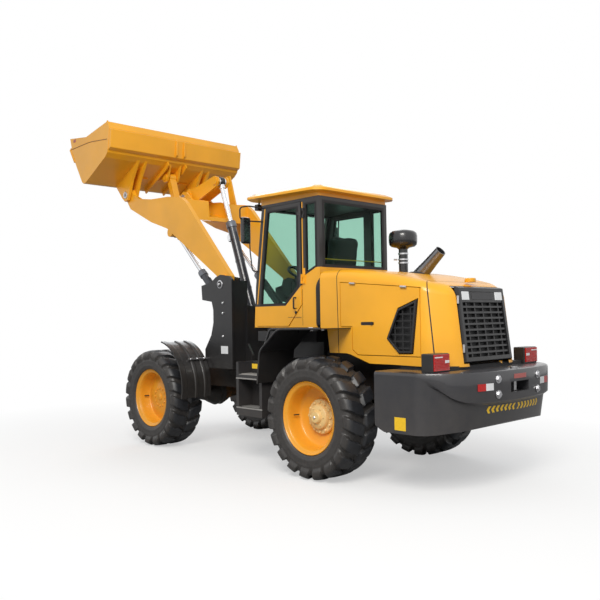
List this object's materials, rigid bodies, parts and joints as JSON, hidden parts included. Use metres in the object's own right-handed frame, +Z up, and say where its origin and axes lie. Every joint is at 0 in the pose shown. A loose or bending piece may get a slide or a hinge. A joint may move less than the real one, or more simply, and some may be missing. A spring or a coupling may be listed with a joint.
{
  "type": "compact articulated wheel loader",
  "caption": "Four-wheel loader hinged in the middle, with a cab, raised Z-bar lift arms and a rolled-back bucket.",
  "frame": {"origin": "on the ground under the centre hinge, midway between the axles", "axes": "+X forward along the machine, +Y to its left, +Z up"},
  "size_m": [6.45, 2.192, 4.193],
  "materials": {
    "machine_yellow": "satin",
    "frame_black": "satin",
    "weight_grey": "satin",
    "tyre_rubber": "matt",
    "chrome_rod": "polished",
    "cylinder_black": "satin",
    "pin_steel": "satin",
    "pane_glass": "clear",
    "seat_vinyl": "matt",
    "cab_plastic": "matt",
    "cast_iron": "rough",
    "grille_black": "matt",
    "step_grey": "satin"
  },
  "bodies": {
    "rear_chassis": {"rear_frame": "frame_black", "engine_block": "cast_iron", "counterweight": "weight_grey", "hood": "machine_yellow", "cab_frame": "machine_yellow", "cab_roof": "machine_yellow", "operator_seat": "seat_vinyl", "console": "cab_plastic", "rear_fenders": "frame_black", "step_boxes": "step_grey", "rear_axle": "frame_black", "exhaust_pipe": "frame_black", "air_precleaner": "frame_black", "lamp_housings": "frame_black", "mirrors": "frame_black"},
    "front_chassis": {"front_frame": "frame_black", "front_axle": "frame_black", "front_fenders": "frame_black"},
    "boom": {"boom": "machine_yellow", "crank_pin": "pin_steel", "bucket_pins": "pin_steel"},
    "bell_crank": {"bell_crank": "machine_yellow", "link_pin": "pin_steel"},
    "tilt_link": {"tilt_link": "machine_yellow"},
    "bucket": {"bucket": "machine_yellow"},
    "lift_barrels": {"lift_barrels": "cylinder_black"},
    "lift_rods": {"lift_rods": "chrome_rod"},
    "tilt_barrel": {"tilt_barrel": "cylinder_black", "tilt_trunnion": "pin_steel"},
    "tilt_rod": {"tilt_rod": "chrome_rod"},
    "steer_barrel_left": {"steer_barrel_left": "cylinder_black"},
    "steer_barrel_right": {"steer_barrel_right": "cylinder_black"},
    "steer_rod_left": {"steer_rod_left": "chrome_rod"},
    "steer_rod_right": {"steer_rod_right": "chrome_rod"},
    "cab_door_left": {"cab_door_left": "machine_yellow", "door_glass_left": "pane_glass"},
    "cab_door_right": {"cab_door_right": "machine_yellow", "door_glass_right": "pane_glass"},
    "hood_door_left": {"hood_door_left": "machine_yellow"},
    "hood_door_right": {"hood_door_right": "machine_yellow"},
    "rear_grille": {"rear_grille": "grille_black"},
    "wheel_front_left": {"tyre_front_left": "tyre_rubber", "rim_front_left": "machine_yellow"},
    "wheel_front_right": {"tyre_front_right": "tyre_rubber", "rim_front_right": "machine_yellow"},
    "wheel_rear_left": {"tyre_rear_left": "tyre_rubber", "rim_rear_left": "machine_yellow"},
    "wheel_rear_right": {"tyre_rear_right": "tyre_rubber", "rim_rear_right": "machine_yellow"}
  },
  "joints": [
    {"name": "articulation", "type": "hinge", "parent": "rear_chassis", "child": "front_chassis", "pos_m": [0, 0, 0.8], "axis": [0, 0, 1], "range_deg": [-36, 36]},
    {"name": "boom_lift", "type": "hinge", "parent": "front_chassis", "child": "boom", "pos_m": [0.47, 0, 1.95], "axis": [0, -1, 0], "range_deg": [-68.5, 6]},
    {"name": "crank_turn", "type": "hinge", "parent": "boom", "child": "bell_crank", "pos_m": [1.864, 0, 3.219], "axis": [0, -1, 0], "range_deg": [-1, 33.3]},
    {"name": "link_turn", "type": "hinge", "parent": "bell_crank", "child": "tilt_link", "pos_m": [2.155, 0, 2.875], "axis": [0, -1, 0], "range_deg": [-71.3, 1]},
    {"name": "bucket_tilt", "type": "hinge", "parent": "boom", "child": "bucket", "pos_m": [2.63, 0, 3.3], "axis": [0, 1, 0], "range_deg": [0, 95]},
    {"name": "lift_barrels_swing", "type": "hinge", "parent": "front_chassis", "child": "lift_barrels", "pos_m": [0.41, 0, 1.5], "axis": [0, -1, 0], "range_deg": [-61.91, 6.34]},
    {"name": "lift_rods_slide", "type": "slide", "parent": "lift_barrels", "child": "lift_rods", "axis": [0.7107, 0, 0.7035], "range_m": [-0.4793, 0.0456]},
    {"name": "tilt_rod_swing", "type": "hinge", "parent": "bell_crank", "child": "tilt_rod", "pos_m": [1.24, 0, 3.35], "axis": [0, -1, 0], "range_deg": [-38.83, 1]},
    {"name": "tilt_barrel_slide", "type": "slide", "parent": "tilt_rod", "child": "tilt_barrel", "axis": [0.34, 0, 0.9404], "range_m": [-0.0377, 0.3885]},
    {"name": "steer_barrel_left_swing", "type": "hinge", "parent": "rear_chassis", "child": "steer_barrel_left", "pos_m": [-0.42, 0.19, 0.8], "axis": [0, 0, 1], "range_deg": [-13.25, 13.25]},
    {"name": "steer_rod_left_slide", "type": "slide", "parent": "steer_barrel_left", "child": "steer_rod_left", "axis": [0.9873, 0.159, 0], "range_m": [-0.1605, 0.1605]},
    {"name": "steer_barrel_right_swing", "type": "hinge", "parent": "rear_chassis", "child": "steer_barrel_right", "pos_m": [-0.42, -0.19, 0.8], "axis": [0, 0, 1], "range_deg": [-13.25, 13.25]},
    {"name": "steer_rod_right_slide", "type": "slide", "parent": "steer_barrel_right", "child": "steer_rod_right", "axis": [0.9873, -0.159, 0], "range_m": [-0.1605, 0.1605]},
    {"name": "wheel_front_left_spin", "type": "hinge", "parent": "front_chassis", "child": "wheel_front_left", "pos_m": [1.39, 0.83, 0.585], "axis": [0, 1, 0], "continuous": true},
    {"name": "wheel_front_right_spin", "type": "hinge", "parent": "front_chassis", "child": "wheel_front_right", "pos_m": [1.39, -0.83, 0.585], "axis": [0, 1, 0], "continuous": true},
    {"name": "wheel_rear_left_spin", "type": "hinge", "parent": "rear_chassis", "child": "wheel_rear_left", "pos_m": [-1.39, 0.83, 0.585], "axis": [0, 1, 0], "continuous": true},
    {"name": "wheel_rear_right_spin", "type": "hinge", "parent": "rear_chassis", "child": "wheel_rear_right", "pos_m": [-1.39, -0.83, 0.585], "axis": [0, 1, 0], "continuous": true},
    {"name": "cab_door_left_swing", "type": "hinge", "parent": "rear_chassis", "child": "cab_door_left", "pos_m": [-0.862, 0.562, 2.2], "axis": [0, 0, 1], "range_deg": [0, 100]},
    {"name": "hood_door_left_swing", "type": "hinge", "parent": "rear_chassis", "child": "hood_door_left", "pos_m": [-1.96, 0.634, 1.835], "axis": [0.9956, 0, 0.0933], "range_deg": [0, 70]},
    {"name": "cab_door_right_swing", "type": "hinge", "parent": "rear_chassis", "child": "cab_door_right", "pos_m": [-0.862, -0.562, 2.2], "axis": [0, 0, -1], "range_deg": [0, 100]},
    {"name": "hood_door_right_swing", "type": "hinge", "parent": "rear_chassis", "child": "hood_door_right", "pos_m": [-1.96, -0.634, 1.835], "axis": [-0.9956, 0, -0.0933], "range_deg": [0, 70]},
    {"name": "rear_grille_swing", "type": "hinge", "parent": "rear_chassis", "child": "rear_grille", "pos_m": [-2.719, 0.39, 1.46], "axis": [-0.1207, 0, -0.9927], "range_deg": [0, 100]}
  ],
  "couplings": [
    {"joint": "steer_barrel_left_swing", "follows": "articulation", "ratio": 0.34014},
    {"joint": "steer_rod_left_slide", "follows": "articulation", "m_per_rad": -0.24902},
    {"joint": "steer_barrel_right_swing", "follows": "articulation", "ratio": 0.34014},
    {"joint": "steer_rod_right_slide", "follows": "articulation", "m_per_rad": 0.24902},
    {"joint": "crank_turn", "follows": "bucket_tilt", "ratio": 0.34},
    {"joint": "link_turn", "follows": "bucket_tilt", "ratio": -0.74},
    {"joint": "lift_barrels_swing", "follows": "boom_lift", "ratio": 0.88921},
    {"joint": "lift_rods_slide", "follows": "boom_lift", "m_per_rad": 0.39759},
    {"joint": "tilt_rod_swing", "follows": "bucket_tilt", "ratio": -0.39821},
    {"joint": "tilt_barrel_slide", "follows": "boom_lift", "m_per_rad": -0.32161}
  ]
}
